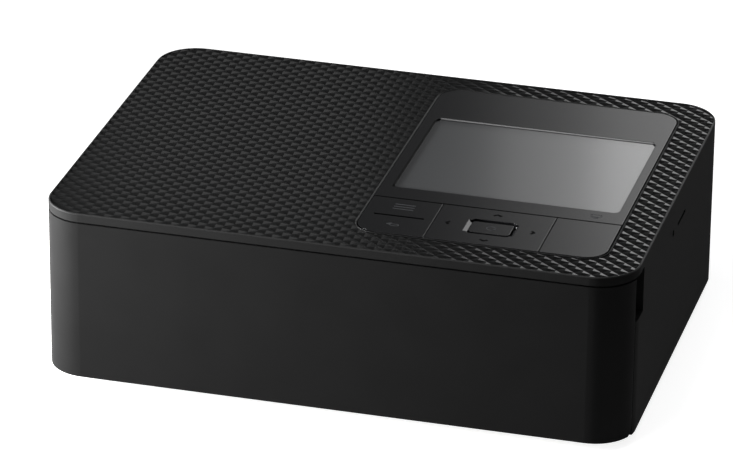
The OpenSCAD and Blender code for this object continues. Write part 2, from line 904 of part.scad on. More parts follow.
module nav_pad() {
    hole_w = ok_w + 2 * key_gap;
    hole_d = ok_d + 2 * ok_side;
    color([0.2, 0.2, 0.21])
    difference() {
        union() {
            intersection() {
                key_row_outline(key_bottom, body_h);
                block(
                    [panel_x0 + menu_w + key_gap / 2, panel_y0, 0],
                    [panel_x0 + menu_w + nav_w - key_gap / 2, key_line, body_h]
                );
            }
            for (s = [-1, 1])
                translate([ok_x + s * nav_stem_x, ok_y, stem_bottom])
                    cylinder(h = stem_h, r = nav_stem_r);
            for (s = [-1, 1])
                translate([nav_mid, ok_y + s * nav_stem_y, stem_bottom])
                    cylinder(h = stem_h, r = nav_pin_r);
        }
        round_block(
            [ok_x - hole_w / 2, ok_y - hole_d / 2, 0],
            [ok_x + hole_w / 2, ok_y + hole_d / 2, body_h + 1],
            1.3
        );
        for (s = [0, 180])
            translate([ok_x, ok_y, body_h])
                rotate(s)
                    translate([hole_w / 2 - 0.5, hole_d / 2 - 1, 0])
                        rotate([90, 0, 0])
                            linear_extrude(height = hole_d - 2)
                                polygon([
                                    [0, 1], [0, -ok_slope_h], [0.5, -ok_slope_h],
                                    [0.5 + ok_slope_w, 0], [0.5 + ok_slope_w, 1]
                                ]);
    }
}

module ok_key() {
    color([0.22, 0.22, 0.23])
    union() {
        round_block(
            [ok_x - ok_w / 2, ok_y - ok_d / 2, key_bottom - 0.4],
            [ok_x + ok_w / 2, ok_y + ok_d / 2, body_h - ok_drop],
            1
        );
        translate([ok_x, ok_y, stem_bottom])
            cylinder(h = stem_h, r = key_stem_r);
    }
}

module print_key() {
    x0 = panel_x0 + menu_w + nav_w + key_gap / 2;
    color([0.2, 0.2, 0.21])
    union() {
        intersection() {
            key_row_outline(key_bottom, body_h);
            block([x0, panel_y0, 0], [panel_x1, key_line, body_h]);
        }
        translate([(x0 + panel_x1) / 2, key_mid_y, stem_bottom])
            cylinder(h = stem_h, r = key_stem_r);
    }
}

module key_mat() {
    mat_top = board_top + 0.6;
    dome_at = [
        [menu_mid, key_mid_y - key_row / 4], [menu_mid, key_mid_y + key_row / 4], [ok_x, ok_y],
        [ok_x - nav_stem_x, ok_y], [ok_x + nav_stem_x, ok_y],
        [nav_mid, ok_y - nav_stem_y], [nav_mid, ok_y + nav_stem_y],
        [(panel_x0 + menu_w + nav_w + panel_x1) / 2, key_mid_y]
    ];
    color([0.3, 0.3, 0.3])
    union() {
        round_block([panel_x0 + 1.2, panel_y0 + 1.2, board_top], [panel_x1 - 1.2, key_line + 1, mat_top], 3);
        for (p = dome_at)
            translate([p[0], p[1], mat_top - 0.1])
                cylinder(h = 0.8, r1 = 1.9, r2 = 1.5);
    }
}

module panel_board() {
    color([0.1, 0.3, 0.2])
    block([panel_x0 + 1, panel_y0 + 1, board_bottom], [panel_x1 + 0.5, panel_y1 - 1, board_top]);
}

module card_socket() {
    x0 = panel_x1 - 12;
    x1 = right_in - 0.4;
    y0 = card_y - socket_d / 2;
    y1 = card_y + socket_d / 2;
    color([0.6, 0.6, 0.62])
    difference() {
        union() {
            block([x0, y0, card_z - socket_h / 2], [x1, y1, card_z + socket_h / 2]);
            block([x0, y0, card_z], [panel_x1, y1, board_bottom]);
        }
        block(
            [x0 + 1.5, card_y - card_l / 2 - 0.2, card_z - card_h / 2],
            [x1 + 1, card_y + card_l / 2 + 0.2, card_z + card_h / 2]
        );
    }
}

module card_lamp() {
    color([0.25, 0.25, 0.25])
    union() {
        rod_x(panel_x1 - 4, body_w / 2 - 0.4, [lamp_y, card_z], lamp_r);
        block([panel_x1 - 4, lamp_y - 1, card_z], [panel_x1 - 2, lamp_y + 1, board_bottom]);
    }
}

module main_board() {
    color([0.1, 0.3, 0.2])
    union() {
        block([main_x0, main_y0, main_z], [main_x1, main_y1, main_top]);
        for (k = [0:2])
            translate([main_x0 + 3 + 7 * k, main_y0 + 3, main_top])
                block([0, 0, -0.01], [5, 6, 1]);
    }
}

module usb_socket() {
    shell_t = 0.4;
    y1 = rear_y - 0.4;
    mid = main_top + usb_h / 2;
    color([0.65, 0.65, 0.67])
    difference() {
        block([usb_x - usb_w / 2, y1 - usb_l, main_top], [usb_x + usb_w / 2, y1, main_top + usb_h]);
        difference() {
            block(
                [usb_x - usb_w / 2 + shell_t, y1 - usb_l + 1, main_top + shell_t],
                [usb_x + usb_w / 2 - shell_t, rear_y, main_top + usb_h - shell_t]
            );
            block([usb_x - usb_w * 0.3, y1 - usb_l, mid - 0.4], [usb_x + usb_w * 0.3, y1 - 1.1, mid + 0.4]);
        }
    }
}

module dc_inlet() {
    y1 = rear_y - 0.5;
    color([0.1, 0.1, 0.1])
    union() {
        difference() {
            union() {
                rod_y(y1 - dc_l, y1, [dc_x, dc_z], dc_r);
                block([dc_x - dc_r + 0.4, y1 - dc_l, main_top], [dc_x + dc_r - 0.4, rear_in - 0.5, dc_z]);
            }
            rod_y(y1 - dc_l + 2, rear_y, [dc_x, dc_z], dc_hole_r);
        }
        rod_y(y1 - dc_l + 1, y1 - 1, [dc_x, dc_z], dc_pin_r);
    }
}

module power_button() {
    color([0.2, 0.2, 0.2])
    union() {
        rod_y(rear_in - 2, rear_y, [power_x, power_z], power_r);
        rod_y(rear_in - 3, rear_in - 1.6, [power_x, power_z], power_r + 0.8);
    }
}

module power_switch() {
    color([0.15, 0.15, 0.15])
    union() {
        block([power_x - 2.5, rear_in - 10, main_top], [power_x + 2.5, rear_in - 5.5, power_z + 3]);
        rod_y(rear_in - 5.6, rear_in - 4.2, [power_x, power_z], 1.4);
    }
}

// The outline both chassis plates share, as [y, z]
module side_plate_outline() {
    polygon([
        [plate_y0, base_top], [plate_y1, base_top], [plate_y1, plate_top],
        [plate_y0 + plate_slope_d, plate_top], [plate_y0, plate_top - plate_slope_h]
    ]);
}

// The seats in both plates for the shafts that run right across
module plate_seats(x0, x1) {
    for (at = [platen_at, feed_at])
        rod_x(x0, x1, at, shaft_r + bush_t);
    rod_x(x0, x1, pinch_at, pinch_r / 2 + fit);
    rod_x(x0, x1, pickup_at, pickup_shaft_r + fit);
    rod_x(x0, x1, pivot_at, pivot_r + fit);
}

module left_side_plate() {
    window_r = housing_r + 0.8;
    color([0.6, 0.61, 0.62])
    difference() {
        plate_x(lane_x0 - plate_t, lane_x0)
            side_plate_outline();
        plate_seats(lane_x0 - 5, lane_x0 + 5);
        for (at = [supply_at, takeup_at])
            rod_x(lane_x0 - 5, lane_x0 + 5, at, window_r);
        block(
            [lane_x0 - 5, supply_at[0], takeup_at[1] - 4],
            [lane_x0 + 5, takeup_at[0], takeup_at[1] + window_r]
        );
    }
}

module right_side_plate() {
    color([0.6, 0.61, 0.62])
    difference() {
        plate_x(lane_x1, lane_x1 + plate_t)
            side_plate_outline();
        plate_seats(lane_x1 - 5, lane_x1 + 5);
        rod_x(lane_x1 - 5, lane_x1 + 5, takeup_at, hub_r + fit);
    }
}

module tie_bars() {
    bar_t = 1.2;
    y0 = plate_y0 + plate_slope_d + 4;
    z1 = plate_top - 0.5;
    rear_y0 = plate_y1 - 3;
    color([0.6, 0.61, 0.62])
    union() {
        block([lane_x0, y0, z1 - 4.5], [lane_x1, y0 + bar_t, z1]);
        block([lane_x0, y0, z1 - bar_t], [lane_x1, y0 + 6, z1]);
    }
    color([0.6, 0.61, 0.62])
    block([lane_x0, rear_y0, slot_z + slot_h + 2], [lane_x1, rear_y0 + bar_t, plate_top - 1]);
}

module front_paper_guide() {
    y0 = -33;
    y1 = -platen_r - 1.6;
    color([0.12, 0.12, 0.12])
    union() {
        block([lane_x0, y0, guide_top - guide_t], [lane_x1, y1, guide_top]);
        guide_ribs(y0 + 1, y1 - 0.9);
    }
}

// The ribs that stiffen a paper guide from below
module guide_ribs(y0, y1) {
    for (k = [0:4])
        translate([paper_x0 + rib_first + rib_pitch * k, 0, 0])
            block([0, y0, guide_top - rib_drop], [rib_t, y1, guide_top - 1]);
}

module rear_paper_guide() {
    y0 = feed_at[0] + feed_r + 1.5;
    color([0.12, 0.12, 0.12])
    union() {
        block([lane_x0, y0, guide_top - guide_t], [lane_x1, rear_in - 0.4, guide_top]);
        guide_ribs(y0 + 1, plate_y1);
    }
}

module roller_bushes() {
    color([0.85, 0.85, 0.8])
    for (at = [platen_at, feed_at], s = [0, 1])
        difference() {
            union() {
                if (s == 0)
                    rod_x(lane_x0 - plate_t, lane_x0, at, shaft_r + bush_t);
                if (s == 1)
                    rod_x(lane_x1, lane_x1 + plate_t, at, shaft_r + bush_t);
                if (s == 0)
                    rod_x(lane_x0, lane_x0 + bush_flange_t, at, shaft_r + bush_t + bush_flange_r);
                if (s == 1)
                    rod_x(lane_x1 - bush_flange_t, lane_x1, at, shaft_r + bush_t + bush_flange_r);
            }
            rod_x(lane_x0 - 5, lane_x1 + 5, at, shaft_r + fit);
        }
}

module platen_shaft() {
    color("silver")
    rod_x(lane_x0 - shaft_end, gear_x + gear_w + gear_end, platen_at, shaft_r);
}

module platen_rubber() {
    color([0.1, 0.1, 0.1])
    difference() {
        rod_x(paper_x0 - 2, paper_x1 + 2, platen_at, platen_r);
        rod_x(paper_x0 - 3, paper_x1 + 3, platen_at, shaft_r);
    }
}

// A gear fixed on a shaft of radius bore
module bored_gear(n, at, turn, x0, x1, bore) {
    color([0.85, 0.84, 0.8])
    difference() {
        gear_x_at(n, at, turn, x0, x1);
        rod_x(x0 - 1, x1 + 1, at, bore);
    }
}

module platen_gear() {
    bored_gear(platen_n, platen_at, platen_turn, gear_x, gear_x + gear_w, shaft_r);
}

module feed_roller() {
    color("silver")
    union() {
        rod_x(lane_x0 - shaft_end, gear_x + gear_w + gear_end, feed_at, shaft_r);
        rod_x(paper_x0 - 2, paper_x1 + 2, feed_at, feed_r);
    }
}

module feed_gear() {
    bored_gear(feed_n, feed_at, feed_turn, gear_x, gear_x + gear_w, shaft_r);
}

module pinch_roller() {
    color("silver")
    union() {
        rod_x(lane_x0 - shaft_end, lane_x1 + shaft_end, pinch_at, pinch_r / 2);
        rod_x(paper_x0, paper_x1, pinch_at, pinch_r);
    }
}

module pickup_roller() {
    half = 16;
    // How far under the axis the roller's flat lies, as a share of its radius
    flat = 0.62;
    color([0.1, 0.1, 0.1])
    union() {
        rod_x(lane_x0 - shaft_end, gear_x + gear_w + gear_end, pickup_at, pickup_shaft_r);
        difference() {
            rod_x(lane_mid - half, lane_mid + half, pickup_at, pickup_r);
            block(
                [lane_mid - half - 1, pickup_at[0] - pickup_r, pickup_at[1] - pickup_r - 1],
                [lane_mid + half + 1, pickup_at[0] + pickup_r, pickup_at[1] - pickup_r * flat]
            );
        }
    }
}

module pickup_gear() {
    bored_gear(front_n, pickup_at, pickup_turn, gear_x, gear_x + gear_w, pickup_shaft_r);
}

module idler_gear() {
    bored_gear(idler_n, idler_at, idler_turn, gear_x, gear_x + gear_w, post_pin_r + fit);
}

module front_idler_a() {
    bored_gear(front_n, front_a_at, front_a_turn, gear_x, gear_x + gear_w, post_pin_r + fit);
}

module front_idler_b() {
    bored_gear(front_n, front_b_at, front_b_turn, gear_x, gear_x + gear_w, post_pin_r + fit);
}

module idler_posts() {
    color("silver")
    for (at = [idler_at, front_a_at, front_b_at])
        union() {
            rod_x(lane_x1 + plate_t, gear_x + gear_w + gear_end, at, post_pin_r);
            rod_x(lane_x1 + plate_t, gear_x - boss_gap, at, post_pin_r + 1.2);
            rod_x(gear_x + gear_w + boss_gap, gear_x + gear_w + gear_end, at, post_pin_r + 1);
        }
}

module takeup_gear() {
    color([0.85, 0.84, 0.8])
    union() {
        gear_x_at(takeup_n, takeup_at, takeup_turn, gear_x, gear_x + gear_w);
        gear_x_at(takeup_large_n, takeup_at, takeup_turn, gear2_x, gear2_x + gear_w);
        rod_x(lane_x1 - 0.6, gear2_x + 0.5, takeup_at, hub_r);
        translate([0, takeup_at[0], takeup_at[1]])
            block([cassette_x1 - 3.5, -dog_w / 2, -dog_t / 2], [lane_x1, dog_w / 2, dog_t / 2]);
    }
}

module feed_motor() {
    can_x0 = bracket_x + plate_t;
    can_x1 = can_x0 + motor_l;
    color([0.7, 0.7, 0.72])
    union() {
        rod_x(can_x0, can_x1, motor_at, motor_r);
        rod_x(can_x1, can_x1 + 1.2, motor_at, motor_boss_r);
        rod_x(bracket_x, can_x0 + 1, motor_at, motor_boss_r);
    }
}

module motor_pinion() {
    color([0.75, 0.65, 0.35])
    union() {
        gear_x_at(pinion_n, motor_at, pinion_turn, gear2_x, gear2_x + gear_w);
        rod_x(gear2_x + gear_w, bracket_x - boss_gap, motor_at, boss_r);
    }
}

module motor_bracket() {
    color([0.6, 0.61, 0.62])
    difference() {
        union() {
            plate_x(bracket_x, bracket_x + plate_t)
                polygon([
                    [motor_at[0] - motor_r, base_top], [motor_at[0] + motor_r, base_top],
                    [motor_at[0] + motor_r + 4, main_top + 3], [lift_at[0] + lift_motor_r, main_top + 3],
                    [lift_at[0] + lift_motor_r, lift_at[1] + lift_motor_r],
                    [motor_at[0] + motor_r, motor_at[1] + motor_r],
                    [motor_at[0] - motor_r, motor_at[1] + motor_r]
                ]);
            block(
                [bracket_x, motor_at[0] - motor_r, base_top],
                [bracket_x + 8, motor_at[0] + motor_r, base_top + plate_t]
            );
        }
        rod_x(bracket_x - 1, bracket_x + 5, motor_at, motor_boss_r);
        rod_x(bracket_x - 1, bracket_x + 5, lift_at, lift_boss_r);
    }
}

module lift_motor() {
    color([0.7, 0.7, 0.72])
    union() {
        rod_x(bracket_x + plate_t, bracket_x + plate_t + lift_motor_l, lift_at, lift_motor_r);
        rod_x(bracket_x, bracket_x + plate_t + 1, lift_at, lift_boss_r);
    }
}

module lift_gear() {
    color([0.85, 0.84, 0.8])
    union() {
        gear_x_at(lift_n, lift_at, lift_turn, gear_x, gear_x + gear_w);
        rod_x(gear_x, bracket_x - boss_gap, lift_at, boss_r);
    }
}

module thermal_head() {
    color([0.75, 0.76, 0.77])
    union() {
        block([head_x0, head_y0, head_bottom + heater_t], [head_x1, head_y1, head_bottom + 8]);
        block([arm_x0 + 6, -1.5, head_bottom + 7], [arm_x1 - 6, 1.5, arm_z]);
    }
}

module heater_strip() {
    color([0.85, 0.8, 0.7])
    union() {
        block(
            [head_x0 + 0.5, head_y0 + 1, head_bottom + 0.3],
            [head_x1 - 0.5, head_y1 - 1, head_bottom + heater_t]
        );
        block([paper_x0, -0.6, head_bottom], [paper_x1, 0.6, head_bottom + 0.4]);
    }
}

module head_arm() {
    cheek_t = 1.2;
    color([0.6, 0.61, 0.62])
    difference() {
        union() {
            block([arm_x0, -3, arm_z], [arm_x1, pivot_at[0] + arm_half, arm_z + arm_t]);
            for (x = [arm_x0, arm_x1 - cheek_t]) {
                block(
                    [x, pivot_at[0] - arm_half, pivot_at[1]],
                    [x + cheek_t, pivot_at[0] + arm_half, arm_z + 0.5]
                );
                rod_x(x, x + cheek_t, pivot_at, arm_half);
            }
        }
        rod_x(arm_x0 - 1, arm_x1 + 1, pivot_at, pivot_r);
    }
}

module head_pivot_shaft() {
    reach = pitch_r(sector_n) + 2;
    color("silver")
    union() {
        rod_x(lane_x0 - shaft_end, gear_x + gear_w + gear_end, pivot_at, pivot_r);
        rod_x(gear_x, gear_x + gear_w, pivot_at, pivot_hub_r);
        intersection() {
            gear_x_at(sector_n, pivot_at, sector_turn, gear_x, gear_x + gear_w);
            plate_x(gear_x - 1, gear_x + gear_w + 1)
                translate(pivot_at)
                    polygon([[0, 0], polar([0, 0], reach + 2, -112), polar([0, 0], reach + 2, -68)]);
        }
    }
}

module cassette_case() {
    case_x0 = cassette_x0 + end_t - 0.1;
    case_x1 = cassette_x1 - end_t + 0.1;
    color([0.16, 0.16, 0.17])
    union() {
        difference() {
            for (at = [supply_at, takeup_at])
                rod_x(case_x0, case_x1, at, housing_r);
            for (at = [supply_at, takeup_at])
                rod_x(case_x0 - 1, case_x1 + 1, at, housing_r - housing_t);
            block([case_x0 - 1, supply_at[0], 0], [case_x1 + 1, takeup_at[0], takeup_at[1] + 1]);
        }
        difference() {
            for (x = [cassette_x0, cassette_x1 - end_t])
                union() {
                    rod_x(x, x + end_t, supply_at, housing_r);
                    rod_x(x, x + end_t, takeup_at, housing_r);
                    block(
                        [x, supply_at[0], takeup_at[1] - 3],
                        [x + end_t, takeup_at[0], takeup_at[1] + housing_r]
                    );
                }
            for (at = [supply_at, takeup_at])
                rod_x(cassette_x0 - 1, cassette_x0 + end_t + 1, at, journal_r + fit);
            rod_x(cassette_x1 - end_t - 1, cassette_x1 + 1, supply_at, journal_r + fit);
            rod_x(cassette_x1 - end_t - 1, cassette_x1 + 1, takeup_at, coupling_r + fit);
        }
    }
}

// One spool with its roll of film
module spool(at, roll_r, end_r) {
    x0 = cassette_x0 + end_t + 0.4;
    x1 = cassette_x1 - end_t - 0.4;
    rod_x(cassette_x0 + 0.2, x0 + 1, at, journal_r);
    rod_x(x1 - 1, cassette_x1 - 0.2, at, end_r);
    rod_x(x0, x1, at, core_r);
    rod_x(paper_x0 - film_over, paper_x1 + film_over, at, roll_r);
}

module supply_spool() {
    color([0.25, 0.15, 0.2])
    spool(supply_at, ribbon_full_r, journal_r);
}

module takeup_spool() {
    color([0.25, 0.15, 0.2])
    difference() {
        spool(takeup_at, ribbon_start_r, coupling_r);
        translate([0, takeup_at[0], takeup_at[1]])
            block(
                [cassette_x1 - 5, -dog_w / 2 - dog_gap, -dog_t / 2 - dog_gap],
                [cassette_x1 + 1, dog_w / 2 + dog_gap, dog_t / 2 + dog_gap]
            );
    }
}

module ink_ribbon() {
    last = len(film_path) - 1;
    upper = [for (k = [last:-1:0]) film_path[k] + film_t * mitre(film_path, k)];
    color([0.3, 0.12, 0.2])
    plate_x(paper_x0 - film_over, paper_x1 + film_over)
        polygon(concat(film_path, upper));
}

base_tray();
top_cover();
front_door();
door_hinge_pins();
front_frame();
ink_door();
ink_door_pin();
rubber_feet();
casing_screws();
panel_plate();
display_window();
display_module();
menu_key();
nav_gimbal();
nav_pad();
ok_key();
print_key();
key_mat();
panel_board();
card_socket();
card_lamp();
main_board();
usb_socket();
dc_inlet();
power_button();
power_switch();
left_side_plate();
right_side_plate();
tie_bars();
front_paper_guide();
rear_paper_guide();
roller_bushes();
platen_shaft();
platen_rubber();
platen_gear();
feed_roller();
feed_gear();
pinch_roller();
pickup_roller();
pickup_gear();
idler_gear();
front_idler_a();
front_idler_b();
idler_posts();
takeup_gear();
feed_motor();
motor_pinion();
motor_bracket();
lift_motor();
lift_gear();
thermal_head();
heater_strip();
head_arm();
head_pivot_shaft();
cassette_case();
supply_spool();
takeup_spool();
ink_ribbon();
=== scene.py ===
"""Looks of the compact photo printer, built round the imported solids. Lengths are in metres unless a name says mm."""

import json
import math

import bpy
import numpy as np
from mathutils import Matrix, Vector


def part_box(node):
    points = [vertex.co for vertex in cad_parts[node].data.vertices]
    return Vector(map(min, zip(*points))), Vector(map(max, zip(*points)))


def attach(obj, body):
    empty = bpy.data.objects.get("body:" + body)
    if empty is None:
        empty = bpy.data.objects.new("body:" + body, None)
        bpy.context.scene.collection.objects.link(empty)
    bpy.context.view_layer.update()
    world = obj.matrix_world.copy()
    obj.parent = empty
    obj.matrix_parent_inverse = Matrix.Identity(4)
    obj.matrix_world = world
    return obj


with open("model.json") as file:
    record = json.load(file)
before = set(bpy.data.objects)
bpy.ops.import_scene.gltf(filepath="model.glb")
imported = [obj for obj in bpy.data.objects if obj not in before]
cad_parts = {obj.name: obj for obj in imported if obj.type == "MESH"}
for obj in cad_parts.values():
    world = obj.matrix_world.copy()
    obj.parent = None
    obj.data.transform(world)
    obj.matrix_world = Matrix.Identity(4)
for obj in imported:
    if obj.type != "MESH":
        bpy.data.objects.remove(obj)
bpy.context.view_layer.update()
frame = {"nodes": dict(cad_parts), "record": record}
nodes = frame["nodes"]
MM = 0.001
LID_TOP = 57.6     # height of the lid and of the panel, in mm
RIM_LOW = 57.3     # where the smooth rim of the lid starts, in mm
PANEL = (2.5, -54.3, 80.4, 57.0)     # the panel with the rim round it, x0, y0, x1, y1 in mm
PANEL_R = 7.5
MENU_GROOVE_X = (6.4, 22.0)
MENU_GROOVE_Y = (-41.45, -40.55)


# ---------------------------------------------------------------- camera, floor and light

def look_camera():
    """The camera: a long lens, about 15 degrees to the right of the front and 25 degrees above the table."""
    azimuth, elevation, roll = (math.radians(a) for a in (14.74, 25.10, -0.68))
    distance = 1.4972
    middle = Vector((0, 0, 28 * MM))
    right = Vector((math.cos(azimuth), math.sin(azimuth), 0))
    back = Vector((
        math.sin(azimuth) * math.cos(elevation),
        -math.cos(azimuth) * math.cos(elevation),
        math.sin(elevation),
    ))
    up = back.cross(right)
    turned_right = right * math.cos(roll) - up * math.sin(roll)
    turned_up = right * math.sin(roll) + up * math.cos(roll)
    data = bpy.data.cameras.new("photo_camera")
    data.sensor_width = 36
    data.lens = 237.25
    data.shift_x = -0.02778
    data.shift_y = 0.01526
    camera = bpy.data.objects.new("photo_camera", data)
    bpy.context.scene.collection.objects.link(camera)
    place = Matrix((turned_right, turned_up, back)).transposed().to_4x4()
    place.translation = middle + back * distance
    camera.matrix_world = place
    bpy.context.scene.camera = camera


def linear(code):
    """An sRGB hex colour as the linear RGBA that shaders take."""
    parts = [int(code[i:i + 2], 16) / 255 for i in (1, 3, 5)]
    return [p / 12.92 if p <= 0.04045 else ((p + 0.055) / 1.055) ** 2.4 for p in parts] + [1.0]


def add(tree, kind, values=None, links=None, **settings):
    """Adds one shader node: settings are its own, values fill inputs, links join outputs to inputs."""
    made = tree.nodes.new("ShaderNode" + kind)
    for name, value in settings.items():
        setattr(made, name, value)
    for name, value in (values or {}).items():
        made.inputs[name].default_value = value
    for name, source in (links or {}).items():
        tree.links.new(source, made.inputs[name])
    return made


def material(name):
    """A new material with an empty tree and its output."""
    made = bpy.data.materials.new(name)
    made.use_nodes = True
    tree = made.node_tree
    tree.nodes.clear()
    return made, tree, tree.nodes.new("ShaderNodeOutputMaterial")


def white_table():
    """A wide white table top. It looks pure white where the camera sees it, and the object's shadow stays."""
    made, tree, out = material("white_laminate_table")
    path = add(tree, "LightPath")
    seen = add(tree, "Math", links={0: path.outputs["Is Camera Ray"], 1: path.outputs["Is Glossy Ray"]},
               operation="MAXIMUM")
    seen_too = add(tree, "Math", links={0: seen.outputs[0], 1: path.outputs["Is Transmission Ray"]},
                   operation="MAXIMUM")
    shade = add(tree, "BsdfDiffuse", {"Color": linear("#c8c8c8"), "Roughness": 0.5})
    glow = add(tree, "Emission", {"Color": linear("#ffffff"), "Strength": 0.85})
    both = add(tree, "AddShader", links={0: shade.outputs[0], 1: glow.outputs[0]})
    mix = add(tree, "MixShader", links={0: seen_too.outputs[0], 1: shade.outputs[0], 2: both.outputs[0]})
    tree.links.new(mix.outputs[0], out.inputs["Surface"])
    mesh = bpy.data.meshes.new("table")
    half = 12
    mesh.from_pydata([(-half, -half, 0), (half, -half, 0), (half, half, 0), (-half, half, 0)], [], [(0, 1, 2, 3)])
    table = bpy.data.objects.new("table", mesh)
    table.data.materials.append(made)
    bpy.context.scene.collection.objects.link(table)


def lamp(name, place, aim, width, height, brightness, spread=180):
    """A softbox: a flat lamp that faces a point. Its brightness is the one that a reflection of it shows, 1 for white.
    A grid in front of it narrows the spread, in degrees, and sends the same light forward."""
    data = bpy.data.lights.new(name, "AREA")
    data.shape = "RECTANGLE"
    data.size = width
    data.size_y = height
    data.energy = brightness * math.pi * width * height
    data.spread = math.radians(spread)
    made = bpy.data.objects.new(name, data)
    made.location = place
    made.rotation_euler = (Vector(aim) - Vector(place)).to_track_quat("-Z", "Y").to_euler()
    made.visible_camera = False
    bpy.context.scene.collection.objects.link(made)


def studio_light():
    """A wall of soft light behind on the right that fades to the left, a softbox over it, two overhead and one near
    the left. The room itself is dim."""
    wall_y = 1.2
    upper_row = ((-0.25, -0.19, 0.55), (-0.19, -0.11, 1.9), (-0.11, 0.9, 3.7))
    lower_row = ((-0.15, -0.09, 0.9), (-0.09, 0.9, 1.9))
    for z0, z1, row in ((0.42, 0.83, upper_row), (0.22, 0.42, lower_row)):
        for x0, x1, brightness in row:
            x, z = (x0 + x1) / 2, (z0 + z1) / 2
            lamp("rear_softbox", (x, wall_y, z), (x, 0, z), x1 - x0, z1 - z0, brightness)
    lamp("top_softbox", (-0.1, -0.25, 1.5), (0, 0, 0), 1.0, 0.7, 2.5)
    lamp("high_softbox", (-0.28, wall_y, 1.19), (-0.06, 0, 0.05), 0.2, 0.26, 1.7)
    lamp("strip_softbox", (-0.25, -0.62, 1.5), (0, 0, 0), 0.26, 0.16, 28)
    lamp("left_softbox", (-0.28, -0.115, 0.075), (-0.09, -0.058, 0.08), 0.14, 0.11, 48, spread=90)
    world = bpy.data.worlds.new("soft_room")
    bpy.context.scene.world = world
    world.use_nodes = True
    tree = world.node_tree
    tree.nodes.clear()
    room = add(tree, "Background", {"Color": linear("#eef0f2"), "Strength": 0.12})
    add(tree, "OutputWorld", links={"Surface": room.outputs[0]})
    bpy.context.scene.view_settings.view_transform = "Standard"


# ---------------------------------------------------------------- finishes

def grain(mm):
    """Noise scale for a pattern whose features are this many millimetres apart."""
    return 1000 / mm


def moulded(name, colour, roughness, grain_mm, grain_depth, edge_mm=0.25, specular=0.5, coat=0.0, drift=0.12):
    """Moulded plastic: an even colour that drifts slightly, a fine tool texture, and edges rounded by the tool."""
    made, tree, out = material(name)
    where = add(tree, "TexCoord").outputs["Object"]
    cloud = add(tree, "TexNoise", {"Scale": grain(14), "Detail": 3}, {"Vector": where})
    tint = add(tree, "MixRGB", {"Color1": [c * (1 - drift) for c in linear(colour)[:3]] + [1],
                                "Color2": [c * (1 + drift) for c in linear(colour)[:3]] + [1]},
               {"Fac": cloud.outputs["Fac"]})
    fine = add(tree, "TexNoise", {"Scale": grain(grain_mm), "Detail": 2}, {"Vector": where})
    rough = add(tree, "MapRange", {"To Min": roughness * 0.9, "To Max": roughness * 1.1},
                {"Value": fine.outputs["Fac"]})
    round_edge = add(tree, "Bevel", {"Radius": edge_mm * MM}, samples=4)
    bump = add(tree, "Bump", {"Strength": 1.0, "Distance": grain_depth * MM},
               {"Height": fine.outputs["Fac"], "Normal": round_edge.outputs["Normal"]})
    shader = add(tree, "BsdfPrincipled", {"Specular IOR Level": specular, "Coat Weight": coat,
                                          "Coat Roughness": 0.12},
                 {"Base Color": tint.outputs["Color"], "Roughness": rough.outputs["Result"],
                  "Normal": bump.outputs["Normal"]})
    tree.links.new(shader.outputs[0], out.inputs["Surface"])
    return made


def between(tree, where, axis, low_mm, high_mm, soft_mm):
    """1 where a coordinate lies between two planes, 0 outside, with a soft edge."""
    place = add(tree, "SeparateXYZ", links={0: where}).outputs[axis]
    rise = add(tree, "MapRange", {"From Min": (low_mm - soft_mm) * MM, "From Max": (low_mm + soft_mm) * MM},
               {"Value": place})
    fall = add(tree, "MapRange", {"From Min": (high_mm - soft_mm) * MM, "From Max": (high_mm + soft_mm) * MM,
                                  "To Min": 1.0, "To Max": 0.0}, {"Value": place})
    return add(tree, "Math", links={0: rise.outputs[0], 1: fall.outputs[0]}, operation="MULTIPLY").outputs[0]


def parts_of(made):
    """A finish's tree, its shader and its object coordinates."""
    tree = made.node_tree
    shader = next(n for n in tree.nodes if n.type == "BSDF_PRINCIPLED")
    return tree, shader, next(n for n in tree.nodes if n.type == "TEX_COORD").outputs["Object"]


def casing_plastic():
    """Black ABS. The walls have a coarse spark-eroded face that hardly shines; the lid's rim is smoother and catches
    the light."""
    wall_rough, rim_rough = 0.75, 0.42
    wall_gloss, rim_gloss = 0.01, 0.12
    made = moulded("black_abs_spark_eroded", "#181818", wall_rough, 0.3, 0.012, specular=wall_gloss, edge_mm=0.3)
    tree, shader, where = parts_of(made)
    rim = between(tree, where, "Z", RIM_LOW, 60, 0.1)
    gloss = add(tree, "MapRange", {"To Min": wall_gloss, "To Max": rim_gloss}, {"Value": rim})
    rough = add(tree, "MapRange", {"To Min": wall_rough, "To Max": rim_rough}, {"Value": rim})
    tree.links.new(gloss.outputs[0], shader.inputs["Specular IOR Level"])
    tree.links.new(rough.outputs[0], shader.inputs["Roughness"])
    return made


